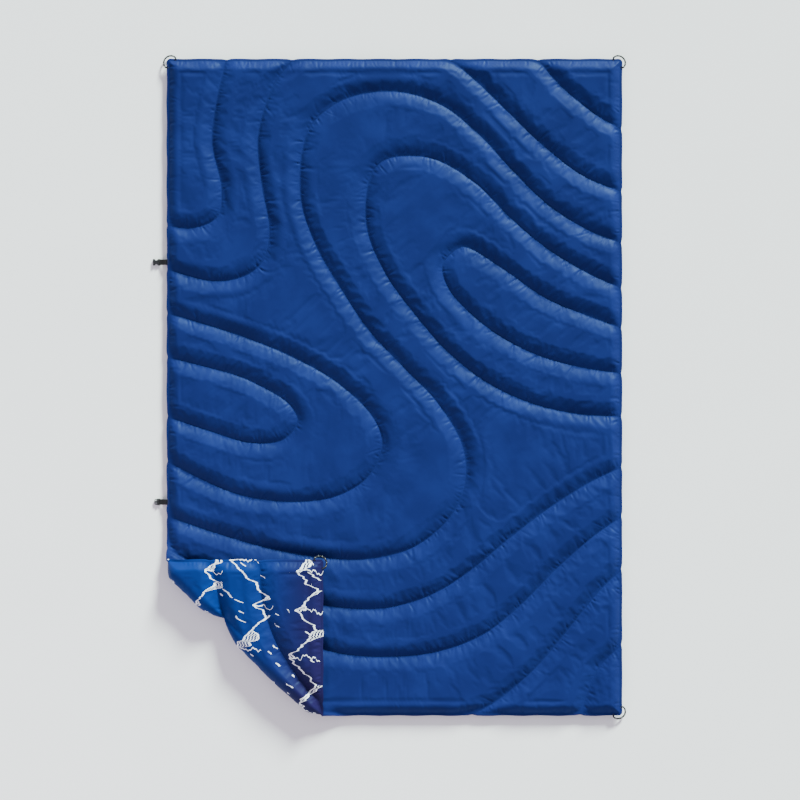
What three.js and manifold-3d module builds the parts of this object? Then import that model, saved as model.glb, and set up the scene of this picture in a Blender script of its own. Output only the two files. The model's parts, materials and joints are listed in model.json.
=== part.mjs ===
// A quilted, two-sided camp blanket that lies flat with one corner folded over.
//
// Two fabric shells hold a sheet of insulation between them. Curved lines of stitching pinch the
// three together into pillows. The blanket has a cord loop at each corner and the two halves of
// a small buckle on webbing tabs at its left edge, so that it can be worn as a cape.
//
// Millimetres, +Z up. The origin is on the floor, under the middle of the unfolded blanket.
// +X is across the blanket and +Y is along it. "Outward" on a clip is away from the blanket.

import * as THREE from 'three';
import { mergeVertices } from 'three/addons/utils/BufferGeometryUtils.js';
import Module from 'manifold-3d';

const wasm = await Module();
wasm.setup();

const GAP = 0.3; // clearance between pieces that touch
const FINEST = 0.1; // detail smaller than this is left out of a solid

// Blanket
const WIDTH = 1321;
const LENGTH = 1905;
const LOFT = 32; // thickness of a pillow
const STITCHED = 6; // thickness where a seam or the hem holds the shells together
const SHELL = 1; // thickness of one fabric shell
const HEM = 8; // width of the flat band round the edge
const SHOULDER = 32; // width over which a pillow rises beside the hem
const SEAM_SHOULDER = 28; // the same beside a line of quilting
const CORNER_RADIUS = 12;
const FOLD_LEG = 455; // length of each side of the corner that is folded over
const FOLD_SLIT = 1; // gap between the panels at the fold, with the corner unfolded

// Stitching
const THREAD_WIDTH = 1.8;
const THREAD_HEIGHT = 1.2;
const STRAIGHT = 130; // longest straight piece of a quilting curve
const TURN = 26; // degrees that a quilting curve turns in one piece, at most
const EDGE_STITCH_INSET = 5.6;
const TACK_WIDTH = 3.2;
const LOOP_TACK_LENGTH = 8;
const TAB_TACK_LENGTH = 14;

// Corner loops
const CORD_DIAMETER = 4.5;
const LOOP_RADIUS = 20; // centre of the loop to the middle of the cord
const LOOP_INSET = 10; // centre of the loop, in from both edges
const LOOP_DROOP = 20; // degrees below level
const LOOP_STEPS = 14;

// Clips
const UPPER_CLIP_Y = 363;
const LOWER_CLIP_Y = -333;
const WEBBING_WIDTH = 16;
const WEBBING = 1.2; // thickness of one layer
const TAB_LENGTH = 23; // pivot at the hem to the middle of the buckle's bar
const BAR_RADIUS = 1.2;
const EAR = 1.2; // wall at each end of the bar
const BUCKLE_HEIGHT = 7;
const FLOOR_CLEARANCE = 0.2; // under a buckle that lies on the floor
const SOCKET_LENGTH = 20; // middle of the bar to the socket's mouth
const SOCKET_WAIST = 11;
const WAIST_EASE = 0.6; // how much wider the waist is at its two ends
const MOUTH_CHAMFER = 1;
const SOCKET_WALL = 1.9; // beside the mouth
const MOUTH_HEIGHT = 4.4;
const MOUTH_DEPTH = 13;
const PRONG_CLEARANCE = 0.3; // above and below a prong in the mouth
const BARB_CATCH = 0.9; // how far a relaxed barb stands out past the mouth's side
const PRONG_BASE = 4.7; // length of the solid block that carries the prongs
const PRONG_LENGTH = 8.4;
const PRONG_THICKNESS = 2.6;
const GUIDE_WIDTH = 3.2;
const GUIDE_LENGTH = 10;

// Lines of quilting, from the bottom left corner: percent of the width, percent of the length.
// The first and last point of each line are on the blanket's edge.
const QUILTING = {
  upper_left_inner: [
    [13.2, 100], [11.4, 95], [10, 90], [10.4, 85], [12, 80.7], [11.7, 76.6],
    [8.8, 74.8], [5, 74.2], [0, 74.7],
  ],
  upper_left_outer: [
    [27.7, 100], [22.8, 95], [20.5, 90.3], [20.1, 85.3], [21.3, 79.2], [22.6, 73.6],
    [21.1, 69.2], [16.9, 66.9], [10.1, 66.2], [0, 68],
  ],
  long_wave: [
    [100, 72], [89.4, 75], [79.3, 80.6], [69.2, 88.1], [59.1, 93.4], [49, 95.1],
    [38.9, 93.8], [31.6, 89.7], [29.2, 81.5], [31, 74.5], [36.7, 66.9], [45.7, 57.6],
    [59.1, 48], [65.2, 40.6], [65.2, 34.3], [60.4, 28.8], [51.2, 24.8], [38.9, 23.9],
    [22, 25.6], [0, 30.4],
  ],
  hook_outer: [
    [100, 65.1], [87.6, 69.2], [74.2, 76.6], [64.1, 83.1], [54.2, 85.3], [46.5, 83.9],
    [43.5, 77.4], [45.9, 70.2], [52.3, 63.2], [62.3, 55.1], [74.4, 49.2], [89.1, 46.1],
    [100, 45.6],
  ],
  hook_inner: [
    [100, 59.1], [84.3, 63.2], [72.4, 68.7], [65.2, 71.4], [60.6, 68.6], [62.9, 64],
    [71.8, 58.5], [84.3, 54.2], [100, 52.1],
  ],
  upper_right_outer: [[62.1, 100], [71.1, 94.7], [81.2, 87.7], [91.3, 82.3], [100, 79.8]],
  upper_right_inner: [[81.4, 100], [86.9, 95.6], [93.3, 91.9], [100, 89.3]],
  left_lobe_outer: [
    [0, 61.3], [15.3, 58.1], [30.3, 53.7], [42.8, 47.7], [47.3, 41.9], [44.6, 36.7],
    [38.2, 33.7], [28.8, 32.6], [13.6, 34.2], [0, 38.9],
  ],
  left_lobe_inner: [
    [0, 54.6], [15.3, 51.8], [24.7, 48.8], [28.8, 45.2], [26, 42.2], [18.7, 41.6],
    [10.3, 43.2], [0, 45.6],
  ],
  lower_wave_upper: [
    [100, 37.9], [89.4, 34.2], [74.4, 26.6], [63.4, 20.5], [52.5, 17], [40.4, 16.4],
    [27, 18], [11.6, 21.2], [0, 25.6],
  ],
  lower_wave_lower: [
    [100, 30.4], [89.4, 25], [79.3, 17.9], [69.2, 12.3], [57.3, 9.5], [45.7, 9.1],
    [34, 10.1], [22.6, 13], [12.3, 15.1], [0, 17.2],
  ],
  folded_corner: [[0, 9.5], [11.2, 9.1], [18.9, 6.8], [25.9, 3.6], [31.8, 0]],
  lower_right_outer: [[100, 22.4], [92.3, 17], [83.9, 9.5], [74.4, 3.2], [66.5, 0]],
  lower_right_inner: [[100, 11], [95.1, 7.5], [92, 3.6], [90.8, 0]],
};
const ONLY_ON_CORNER = ['folded_corner'];
const ACROSS_FOLD = ['lower_wave_lower'];


// ---- worked out from the sizes

const MIDDLE = LOFT / 2; // height of the hem and of every seam
const CORD_RADIUS = CORD_DIAMETER / 2;
const LEFT = -WIDTH / 2;
const BOTTOM = -LENGTH / 2;
const FAR = WIDTH + LENGTH; // larger than the blanket, for cutting
// The corner turns about a line just above the fold, so that its pillows lie on the others.
const FOLD_HEIGHT = LOFT + GAP / 2;
const FOLD_MIDDLE = new THREE.Vector3(LEFT + FOLD_LEG / 2, BOTTOM + FOLD_LEG / 2, FOLD_HEIGHT);
const FOLD_DIRECTION = new THREE.Vector3(1, -1, 0).normalize();

// ---- colours

const paint = (color, roughness) => new THREE.MeshStandardMaterial({ color, roughness });
const FRONT_FABRIC = paint(0x1f4182, 0.6);
const BACK_FABRIC = paint(0x2a4fa8, 0.6);
const INSULATION = paint(0xeeeeea, 1);
const THREAD = paint(0x1a2b5e, 0.8);
const CORD = paint(0x15161a, 0.85);
const WEBBING_BLACK = paint(0x121316, 0.9);
const PLASTIC = paint(0x17181b, 0.45);

// ---- solids

function solid(geometry) {
  const bare = geometry.clone();
  bare.deleteAttribute('normal');
  bare.deleteAttribute('uv');
  const merged = mergeVertices(bare, 1e-4);
  return new wasm.Manifold(
    new wasm.Mesh({
      numProp: 3,
      vertProperties: new Float32Array(merged.attributes.position.array),
      triVerts: new Uint32Array(merged.index.array),
    }),
  );
}

function meshOf(name, body, material) {
  const { vertProperties, triVerts } = body.simplify(FINEST).getMesh();
  const geometry = new THREE.BufferGeometry();
  geometry.setAttribute('position', new THREE.BufferAttribute(vertProperties, 3));
  geometry.setIndex(new THREE.BufferAttribute(triVerts, 1));
  geometry.computeVertexNormals();
  const mesh = new THREE.Mesh(geometry, material);
  mesh.name = name;
  return mesh;
}

// A block between two corners.
function block(from, to) {
  const size = to.map((value, axis) => value - from[axis]);
  const geometry = new THREE.BoxGeometry(...size);
  geometry.translate(...from.map((value, axis) => value + size[axis] / 2));
  return solid(geometry);
}

// An outline pushed up from one height to another.
function plate(outline, from, to) {
  const geometry = new THREE.ExtrudeGeometry(outline, {
    depth: to - from, bevelEnabled: false, curveSegments: 4,
  });
  geometry.translate(0, 0, from);
  return solid(geometry);
}

// A section of [across, up] points, swept along a curve that lies level.
function sweep(curve, steps, section) {
  const shape = new THREE.Shape(section.map(([across, up]) => new THREE.Vector2(-up, across)));
  return solid(new THREE.ExtrudeGeometry(shape, { steps, bevelEnabled: false, extrudePath: curve }));
}

function polygon(points) {
  return new THREE.Shape(points.map(([x, y]) => new THREE.Vector2(x, y)));
}

// The blanket's outline, moved in, with rounded corners.
function blanketOutline(inset, radius) {
  const x = WIDTH / 2 - inset;
  const y = LENGTH / 2 - inset;
  const outline = new THREE.Shape();
  outline.absarc(x - radius, y - radius, radius, 0, Math.PI / 2);
  outline.absarc(radius - x, y - radius, radius, Math.PI / 2, Math.PI);
  outline.absarc(radius - x, radius - y, radius, Math.PI, 1.5 * Math.PI);
  outline.absarc(x - radius, radius - y, radius, 1.5 * Math.PI, 2 * Math.PI);
  outline.closePath();
  return outline;
}

// ---- quilting

// A level curve that is followed in straight pieces: long where it runs straight, short in a bend.
class SteppedCurve extends THREE.Curve {
  constructor(curve) {
    super();
    this.curve = curve;
    this.stops = [0];
    const samples = Math.ceil(curve.getLength() / (STRAIGHT / 10));
    let start = curve.getTangentAt(0);
    for (let i = 1; i < samples; i += 1) {
      const tangent = curve.getTangentAt(i / samples);
      const long = (i / samples - this.stops.at(-1)) * curve.getLength() >= STRAIGHT;
      if (long || tangent.angleTo(start) >= THREE.MathUtils.degToRad(TURN)) {
        this.stops.push(i / samples);
        start = tangent;
      }
    }
    this.stops.push(1);
  }

  get steps() {
    return this.stops.length - 1;
  }

  at(t) {
    return this.stops[Math.round(t * this.steps)];
  }

  getPointAt(t) {
    return this.curve.getPointAt(this.at(t));
  }

  getTangentAt(t) {
    return this.curve.getTangentAt(this.at(t));
  }
}

// The curve of one line of quilting, run on past the blanket's edge at both ends.
function quiltingCurve(points) {
  const onBlanket = points.map(([across, along]) => {
    return new THREE.Vector3(LEFT + (WIDTH * across) / 100, BOTTOM + (LENGTH * along) / 100, MIDDLE);
  });
  const runOn = (end, next) => end.clone().add(end.clone().sub(next).setLength(HEM + SHOULDER));
  const first = runOn(onBlanket[0], onBlanket[1]);
  const last = runOn(onBlanket.at(-1), onBlanket.at(-2));
  const through = [first, ...onBlanket, last];
  return new SteppedCurve(new THREE.CatmullRomCurve3(through, false, 'centripetal'));
}

const quilting = Object.entries(QUILTING).map(([name, points]) => {
  return { name, curve: quiltingCurve(points) };
});

// Every groove that the quilting presses into one side of a body, which is half the thickness
// of the stitching away from the middle at its bottom. side is 1 for the front, -1 for the back.
function grooves(side, bottom) {
  const top = MIDDLE + GAP; // just clear of the pillows
  const slope = (LOFT - STITCHED) / 2 / SEAM_SHOULDER;
  const reach = (top - bottom) / slope;
  const section = [[0, side * bottom], [reach, side * top], [-reach, side * top]];
  return quilting.map(({ curve }) => sweep(curve, curve.steps, section));
}

// The quilted shape without its hem, a distance inside the blanket's outer surface.
function pillows(inside) {
  const rim = HEM + SHOULDER;
  const top = blanketOutline(rim, CORNER_RADIUS / 4);
  const geometry = new THREE.ExtrudeGeometry(top, {
    depth: STITCHED - 2 * inside,
    bevelThickness: (LOFT - STITCHED) / 2,
    bevelSize: SHOULDER - (inside > SHELL ? GAP : 0),
    bevelSegments: 2,
    curveSegments: 1,
  });
  geometry.translate(0, 0, MIDDLE - STITCHED / 2 + inside);
  const bottom = STITCHED / 2 - inside;
  let body = solid(geometry);
  for (const side of [1, -1]) {
    for (const cut of grooves(side, bottom)) {
      body = body.subtract(cut);
    }
  }
  return body;
}

// Which side of the fold a piece belongs to. Both halves stand back from the fold by half a slit.
const foldedCorner = cornerPrism(FOLD_LEG - FOLD_SLIT / Math.SQRT2);
const cornerAndSlit = cornerPrism(FOLD_LEG + FOLD_SLIT / Math.SQRT2);

function cornerPrism(leg) {
  const outline = polygon([
    [LEFT - FAR, BOTTOM - FAR],
    [LEFT + leg + FAR, BOTTOM - FAR],
    [LEFT - FAR, BOTTOM + leg + FAR],
  ]);
  return plate(outline, -FAR, FAR);
}

const onMain = (body) => body.subtract(cornerAndSlit);
const onCorner = (body) => body.intersect(foldedCorner);

// ---- shells and insulation

function buildPanels() {
  const hem = plate(blanketOutline(0, CORNER_RADIUS), MIDDLE - STITCHED / 2, MIDDLE + STITCHED / 2);
  const outside = pillows(0).add(hem);
  const shells = outside.subtract(pillows(SHELL));
  const front = shells.intersect(block([-FAR, -FAR, MIDDLE + GAP / 2], [FAR, FAR, FAR]));
  const back = shells.intersect(block([-FAR, -FAR, -FAR], [FAR, FAR, MIDDLE - GAP / 2]));
  const insulation = pillows(SHELL + GAP);
  return {
    main: [
      meshOf('front_shell_main', onMain(front), FRONT_FABRIC),
      meshOf('insulation_main', onMain(insulation), INSULATION),
      meshOf('back_shell_main', onMain(back), BACK_FABRIC),
    ],
    corner: [
      meshOf('front_shell_corner', onCorner(front), FRONT_FABRIC),
      meshOf('insulation_corner', onCorner(insulation), INSULATION),
      meshOf('back_shell_corner', onCorner(back), BACK_FABRIC),
    ],
  };
}

// ---- stitching

// Thread lies on the front of the main panel, and on the back of the corner, which shows.
// It clears the sides of the groove that it lies in.
const THREAD_LIFT = GAP + (THREAD_WIDTH / 2) * ((LOFT - STITCHED) / 2 / SEAM_SHOULDER);

function threadSection(side, lift) {
  const low = side * (STITCHED / 2 + lift);
  const high = side * (STITCHED / 2 + lift + THREAD_HEIGHT);
  const half = THREAD_WIDTH / 2;
  return [[-half, low], [half, low], [half, high], [-half, high]];
}

function buildQuiltingThreads() {
  const clearOfEdgeStitch = EDGE_STITCH_INSET + THREAD_WIDTH / 2 + GAP;
  const inside = plate(blanketOutline(clearOfEdgeStitch, CORNER_RADIUS / 4), -FAR, FAR);
  const main = [];
  const corner = [];
  for (const { name, curve } of quilting) {
    const thread = (side) => {
      return sweep(curve, curve.steps, threadSection(side, THREAD_LIFT)).intersect(inside);
    };
    if (!ONLY_ON_CORNER.includes(name)) {
      main.push(meshOf(`seam_${name}`, onMain(thread(1)), THREAD));
    }
    if (ONLY_ON_CORNER.includes(name) || ACROSS_FOLD.includes(name)) {
      corner.push(meshOf(`seam_${name}_turned`, onCorner(thread(-1)), THREAD));
    }
  }
  return { main, corner };
}

// The row of stitching that closes the hem.
function edgeStitch(side) {
  const outer = blanketOutline(EDGE_STITCH_INSET - THREAD_WIDTH / 2, CORNER_RADIUS / 2);
  outer.holes.push(blanketOutline(EDGE_STITCH_INSET + THREAD_WIDTH / 2, CORNER_RADIUS / 4));
  const heights = [GAP, GAP + THREAD_HEIGHT].map((lift) => MIDDLE + side * (STITCHED / 2 + lift));
  return plate(outer, Math.min(...heights), Math.max(...heights));
}

// A bar of dense stitching over the end of a loop or a tab, along the very edge of the hem.
// It lies along X or Y, and (x, y) is its middle.
function tack(x, y, alongX, length, side) {
  const half = [length / 2, TACK_WIDTH / 2];
  const [dx, dy] = alongX ? half : [half[1], half[0]];
  const heights = [GAP, GAP + THREAD_HEIGHT].map((lift) => MIDDLE + side * (STITCHED / 2 + lift));
  return block([x - dx, y - dy, Math.min(...heights)], [x + dx, y + dy, Math.max(...heights)]);
}

const TACK_INSET = TACK_WIDTH / 2 + GAP; // middle of a tack, in from the edge

// ---- corner loops

// A loop's ends are round, and a gap away from the edge of the hem. It turns about the line
// between them. Here the corner is at the origin, the blanket lies at +x and +y from it, and
// the arc runs round the outside from one edge to the other.
const LOOP_END_OUT = CORD_RADIUS + GAP;
const LOOP_END_ANGLE = Math.asin((LOOP_INSET + LOOP_END_OUT) / LOOP_RADIUS);
const LOOP_REACH = LOOP_INSET + LOOP_RADIUS * Math.cos(LOOP_END_ANGLE); // along an edge, to an end
const LOOP_ENDS = [
  new THREE.Vector3(LOOP_REACH, -LOOP_END_OUT, 0),
  new THREE.Vector3(-LOOP_END_OUT, LOOP_REACH, 0),
];

function cordLoop() {
  const arc = new THREE.EllipseCurve(
    LOOP_INSET, LOOP_INSET, LOOP_RADIUS, LOOP_RADIUS,
    -LOOP_END_ANGLE, Math.PI / 2 + LOOP_END_ANGLE, true,
  );
  const points = arc.getPoints(LOOP_STEPS).map(({ x, y }) => new THREE.Vector3(x, y, 0));
  const route = new THREE.CatmullRomCurve3(points);
  const section = new THREE.Shape().absarc(0, 0, CORD_RADIUS, 0, 2 * Math.PI);
  const tube = new THREE.ExtrudeGeometry(section, {
    steps: LOOP_STEPS, curveSegments: 4, bevelEnabled: false, extrudePath: route,
  });
  let cord = solid(tube);
  for (const end of LOOP_ENDS) {
    const ball = new THREE.SphereGeometry(CORD_RADIUS, 8, 6);
    ball.translate(end.x, end.y, end.z);
    cord = cord.add(solid(ball));
  }
  return cord;
}

// A corner's loop and the two tacks that hold it. right and up are 1 or -1 for the corner's place,
// and side is the face that its tacks lie on. A loop droops away from that face.
function buildLoop(name, right, up, side) {
  const droopAxis = LOOP_ENDS[1].clone().sub(LOOP_ENDS[0]).normalize();
  const pivot = LOOP_ENDS[0];
  const droop = new THREE.Matrix4()
    .makeTranslation(pivot.x, pivot.y, pivot.z)
    .multiply(new THREE.Matrix4().makeRotationAxis(droopAxis, THREE.MathUtils.degToRad(-LOOP_DROOP)))
    .multiply(new THREE.Matrix4().makeTranslation(-pivot.x, -pivot.y, -pivot.z));
  const place = new THREE.Matrix4().makeScale(-right, -up, side);
  place.setPosition((right * WIDTH) / 2, (up * LENGTH) / 2, MIDDLE);
  const cord = cordLoop().transform(droop.elements).transform(place.elements);
  const x = right * (WIDTH / 2 - LOOP_REACH);
  const y = up * (LENGTH / 2 - LOOP_REACH);
  const topEdge = up * (LENGTH / 2 - TACK_INSET);
  const sideEdge = right * (WIDTH / 2 - TACK_INSET);
  const onEnd = tack(x, topEdge, true, LOOP_TACK_LENGTH, side);
  const onSide = tack(sideEdge, y, false, LOOP_TACK_LENGTH, side);
  return [
    meshOf(`loop_${name}`, cord, CORD),
    meshOf(`loop_tack_${name}_end`, onEnd, THREAD),
    meshOf(`loop_tack_${name}_side`, onSide, THREAD),
  ];
}

// ---- clips

// On a clip, x runs outward, y across and z up, from the middle of the bar.
const EAR_INSIDE = WEBBING_WIDTH / 2 + GAP;
const BUCKLE_HALF_WIDTH = EAR_INSIDE + EAR;
const SLOT_END = BAR_RADIUS + GAP + WEBBING + GAP; // outer end of the slot that the webbing fills
const BAR_HEIGHT = FLOOR_CLEARANCE + BUCKLE_HEIGHT / 2;
const MOUTH_HALF_WIDTH = BUCKLE_HALF_WIDTH - SOCKET_WALL;
const PRONG_HEIGHT = MOUTH_HEIGHT - 2 * PRONG_CLEARANCE;
const BARB_HALF_WIDTH = MOUTH_HALF_WIDTH + BARB_CATCH;
const TAB_PIVOT_X = LEFT - GAP - WEBBING;
const TAB_SLOPE = Math.asin((MIDDLE - BAR_HEIGHT) / TAB_LENGTH);
const BAR_X = TAB_PIVOT_X - TAB_LENGTH * Math.cos(TAB_SLOPE);
const PRONG_ROOT_X = SLOT_END + PRONG_BASE;

// The bar and the two ears that hold it, open towards the blanket.
function barAndEars() {
  const ear = (y) => {
    const half = EAR / 2;
    return block([-BAR_RADIUS, y - half, -BAR_RADIUS], [SLOT_END + EAR, y + half, BAR_RADIUS]);
  };
  const bar = new THREE.CylinderGeometry(BAR_RADIUS, BAR_RADIUS, 2 * BUCKLE_HALF_WIDTH - EAR, 10);
  const y = BUCKLE_HALF_WIDTH - EAR / 2;
  return solid(bar).add(ear(y)).add(ear(-y));
}

// The socket half: a flat box with a waist, whose mouth is at its outer end. The mouth is wider
// than the waist, so it opens at both sides, where the prongs' barbs catch.
function socketBody() {
  const wide = BUCKLE_HALF_WIDTH;
  const waist = SOCKET_WAIST / 2;
  const nearlyWaist = waist + WAIST_EASE;
  const half = [
    [SLOT_END, wide], [SLOT_END + 2.2, wide], [SLOT_END + 5, nearlyWaist],
    [SLOT_END + 6.5, waist], [SLOT_END + 8.5, waist],
    [SLOT_END + 10, nearlyWaist], [SLOT_END + 12.6, wide],
    [SOCKET_LENGTH - MOUTH_CHAMFER, wide], [SOCKET_LENGTH, wide - MOUTH_CHAMFER],
  ];
  const mirrored = half.map(([x, y]) => [x, -y]).reverse();
  const body = plate(polygon([...half, ...mirrored]), -BUCKLE_HEIGHT / 2, BUCKLE_HEIGHT / 2);
  const mouth = block(
    [SOCKET_LENGTH - MOUTH_DEPTH, -MOUTH_HALF_WIDTH, -MOUTH_HEIGHT / 2],
    [SOCKET_LENGTH + 1, MOUTH_HALF_WIDTH, MOUTH_HEIGHT / 2],
  );
  return body.subtract(mouth).add(barAndEars());
}

// The plug half: a solid block with a guide rib between the prongs' roots.
function plugBody() {
  const base = block(
    [SLOT_END, -BUCKLE_HALF_WIDTH, -BUCKLE_HEIGHT / 2],
    [PRONG_ROOT_X, BUCKLE_HALF_WIDTH, BUCKLE_HEIGHT / 2],
  );
  const half = GUIDE_WIDTH / 2;
  const insideBase = PRONG_ROOT_X - 1;
  const tip = PRONG_ROOT_X + GUIDE_LENGTH;
  const rib = polygon([
    [insideBase, -half], [tip - half, -half], [tip, 0], [tip - half, half], [insideBase, half],
  ]);
  return base.add(plate(rib, -PRONG_HEIGHT / 2, PRONG_HEIGHT / 2)).add(barAndEars());
}

// A springy prong with a barb, which bows outward and curls in at its tip. side is 1 or -1.
// Its outline runs out along the outside and back along the inside, as [share of the length,
// how far in from the barb].
function prong(side) {
  const outline = [
    [0, 1.2], [0.4, 0], [0.62, 0.4], [0.9, 2.4], [1, 4.6],
    [0.81, 4.9], [0.6, PRONG_THICKNESS], [0, 1.2 + PRONG_THICKNESS],
  ];
  const points = outline.map(([along, inward]) => {
    return [PRONG_ROOT_X + GAP + PRONG_LENGTH * along, side * (BARB_HALF_WIDTH - inward)];
  });
  return plate(polygon(points), -PRONG_HEIGHT / 2, PRONG_HEIGHT / 2);
}

// Webbing that leaves the hem double, with its loop round the bar. Its own x runs outward along
// the slope, from the pivot at the hem.
function webbingTab() {
  const outline = new THREE.Shape();
  const loopRadius = BAR_RADIUS + GAP + WEBBING;
  const meet = Math.asin(WEBBING / loopRadius);
  outline.absarc(0, 0, WEBBING, Math.PI / 2, 1.5 * Math.PI);
  outline.absarc(TAB_LENGTH, 0, loopRadius, -Math.PI + meet, Math.PI - meet);
  outline.closePath();
  const hole = new THREE.Path().absarc(TAB_LENGTH, 0, BAR_RADIUS + GAP, 0, 2 * Math.PI);
  outline.holes.push(hole);
  const geometry = new THREE.ExtrudeGeometry(outline, {
    depth: WEBBING_WIDTH, bevelEnabled: false, curveSegments: 8,
  });
  geometry.translate(0, 0, -WEBBING_WIDTH / 2);
  geometry.rotateX(Math.PI / 2);
  return solid(geometry);
}

// A clip's pieces in their places at the left edge. Outward is -X, so a clip is turned half round.
function buildClip(name, y, halves) {
  const clip = new THREE.Group();
  clip.position.set(BAR_X, y, BAR_HEIGHT);
  clip.rotation.z = Math.PI;
  for (const [half, body] of halves) {
    clip.add(meshOf(half, body, PLASTIC));
  }
  const tab = new THREE.Group();
  tab.position.set(TAB_PIVOT_X, y, MIDDLE);
  tab.rotation.set(0, TAB_SLOPE, Math.PI, 'ZYX');
  tab.add(meshOf(`tab_${name}`, webbingTab(), WEBBING_BLACK));
  const tackBody = tack(LEFT + TACK_INSET, y, false, TAB_TACK_LENGTH, 1);
  return [clip, tab, meshOf(`tab_tack_${name}`, tackBody, THREAD)];
}

// ---- assembly

function build() {
  const panels = buildPanels();
  const threads = buildQuiltingThreads();
  const main = new THREE.Group();
  main.add(...panels.main, ...threads.main);
  main.add(meshOf('edge_stitch_main', onMain(edgeStitch(1)), THREAD));
  main.add(...buildLoop('top_left', -1, 1, 1), ...buildLoop('top_right', 1, 1, 1));
  main.add(...buildLoop('bottom_right', 1, -1, 1));
  main.add(...buildClip('upper', UPPER_CLIP_Y, [['buckle_socket', socketBody()]]));
  const plug = [['buckle_plug', plugBody()], ['prong_left', prong(1)], ['prong_right', prong(-1)]];
  main.add(...buildClip('lower', LOWER_CLIP_Y, plug));

  // The corner is made lying flat, then turned over about the fold.
  const corner = new THREE.Group();
  corner.add(...panels.corner, ...threads.corner);
  corner.add(meshOf('edge_stitch_corner', onCorner(edgeStitch(-1)), THREAD));
  corner.add(...buildLoop('bottom_left', -1, -1, -1));
  for (const mesh of corner.children) {
    mesh.position.copy(FOLD_MIDDLE).negate();
  }
  corner.position.copy(FOLD_MIDDLE);
  corner.quaternion.setFromAxisAngle(FOLD_DIRECTION, Math.PI);

  const blanket = new THREE.Group();
  blanket.add(main, corner);
  return blanket;
}

export default build();
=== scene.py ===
"""A quilted camp blanket, lying flat with one corner folded over, built around its CAD frame."""

import json
import math

import bmesh
import bpy
import numpy as np
from mathutils import Matrix, Vector
from mathutils.kdtree import KDTree


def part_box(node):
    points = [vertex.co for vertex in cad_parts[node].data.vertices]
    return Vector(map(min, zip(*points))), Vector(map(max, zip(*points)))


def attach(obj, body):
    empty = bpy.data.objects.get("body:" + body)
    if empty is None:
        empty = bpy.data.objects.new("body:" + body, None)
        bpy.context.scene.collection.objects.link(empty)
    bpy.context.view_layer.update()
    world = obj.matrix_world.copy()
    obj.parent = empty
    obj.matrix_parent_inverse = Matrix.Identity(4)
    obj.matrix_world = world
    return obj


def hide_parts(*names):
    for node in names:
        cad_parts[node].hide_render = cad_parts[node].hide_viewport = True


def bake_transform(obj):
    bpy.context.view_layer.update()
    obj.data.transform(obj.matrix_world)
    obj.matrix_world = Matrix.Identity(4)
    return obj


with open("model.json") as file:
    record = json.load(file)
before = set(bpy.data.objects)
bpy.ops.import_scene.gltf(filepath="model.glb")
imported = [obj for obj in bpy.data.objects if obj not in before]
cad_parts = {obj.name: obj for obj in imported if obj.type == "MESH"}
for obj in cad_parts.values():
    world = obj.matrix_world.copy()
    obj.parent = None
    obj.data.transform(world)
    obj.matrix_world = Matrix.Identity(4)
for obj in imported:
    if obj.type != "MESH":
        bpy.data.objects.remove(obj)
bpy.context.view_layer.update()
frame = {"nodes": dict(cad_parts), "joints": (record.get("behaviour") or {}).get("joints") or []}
MM = 0.001

# ---- sizes from the frame

SHELL_LOW, SHELL_HIGH = (np.array(corner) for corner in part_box("front_shell_main"))
HALF = (SHELL_HIGH - SHELL_LOW)[:2] / 2  # half the width and half the length
LOFT = SHELL_HIGH[2]
MIDDLE = LOFT / 2
JOINTS = {joint["name"]: joint for joint in frame["joints"]}
FOLD_POINT = np.array(JOINTS["corner_fold"]["pos_m"])
FOLD_ALONG = np.array(JOINTS["corner_fold"]["axis"])
FOLD_INWARD = np.array([-FOLD_ALONG[1], FOLD_ALONG[0], 0.0])  # from the fold, over the blanket

# ---- sizes that are the look's own

CELL = 3 * MM  # spacing of the covers' mesh
SIM_CELL = 6 * MM
BATTING_CELL = 12 * MM
THREAD_NEAR = 6 * MM  # the points of one section of a thread lie within this
LINE_STEP = 2 * MM
HEM = 7 * MM
STITCHED = 2.6 * MM  # thickness at a seam and at the hem
SEAM_RISE = 46 * MM  # from a seam to a pillow's full height
EDGE_RISE = 30 * MM
EDGE_ROUND = 2.5 * MM
CORNER_RADIUS = 12 * MM
PULLED_IN = 2.6 * MM  # how far a seam's end draws the edge in
NOTCH_WIDTH = 9 * MM
EDGE_WOBBLE = 0.8 * MM
EDGE_WAVES = (61, 53)  # radians in a metre
DOME_POWER = 0.93
FOLD_LEG = abs(FOLD_POINT[0] + HALF[0]) + abs(FOLD_POINT[1] + HALF[1])
FOLD_REACH = 30 * MM
NOSE = 1.05  # how far the outer cover bulges past the fold, as a share of its height
NOSE_STEPS = 20
FLOOR_GAP = 0.05 * MM

SIM_SWELL = 0.015  # how much larger the cloth grows
SIM_FRAMES = 14
SIM_BLUR = 4  # cells
SIM_SOFTEN = 0.7  # cells
CLOTH = {
    "quality": 4,
    "vertex_group_mass": "sewn",
    "mass": 0.0005,
    "tension_stiffness": 10,
    "compression_stiffness": 10,
    "shear_stiffness": 4,
    "bending_stiffness": 0.02,
    "use_pressure": True,
    "uniform_pressure_force": 1,
    "shrink_min": -SIM_SWELL,
    "air_damping": 2,
}
WRINKLE_LIMIT = 3 * MM  # the most that the simulation may move a point
WRINKLE_GAIN = 0.7
PUCKER_SPACING = 9 * MM
PUCKER_REACH = 29 * MM
PUCKER_SHORTEST = 0.4  # shares of the reach
PUCKER_USUAL = 0.45
PUCKER_LONGEST = 2.4
PUCKER_SLANT = 0.3
PUCKER_BEND = 5
PUCKER_VALLEY = 0.6  # how much of a pucker is its valley
PUCKERS_BESIDE = 4  # how many puckers away one is still felt
PUCKER_DEPTH = 4.0 * MM
PUCKER_WIDTH = 2.6 * MM
PUCKER_WIDENS = 22 * MM
PUCKER_START = 3 * MM
LUMP = 0.9 * MM
LUMP_WAVES = 24
LUMP_SIZES = (70 * MM, 260 * MM)
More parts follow.
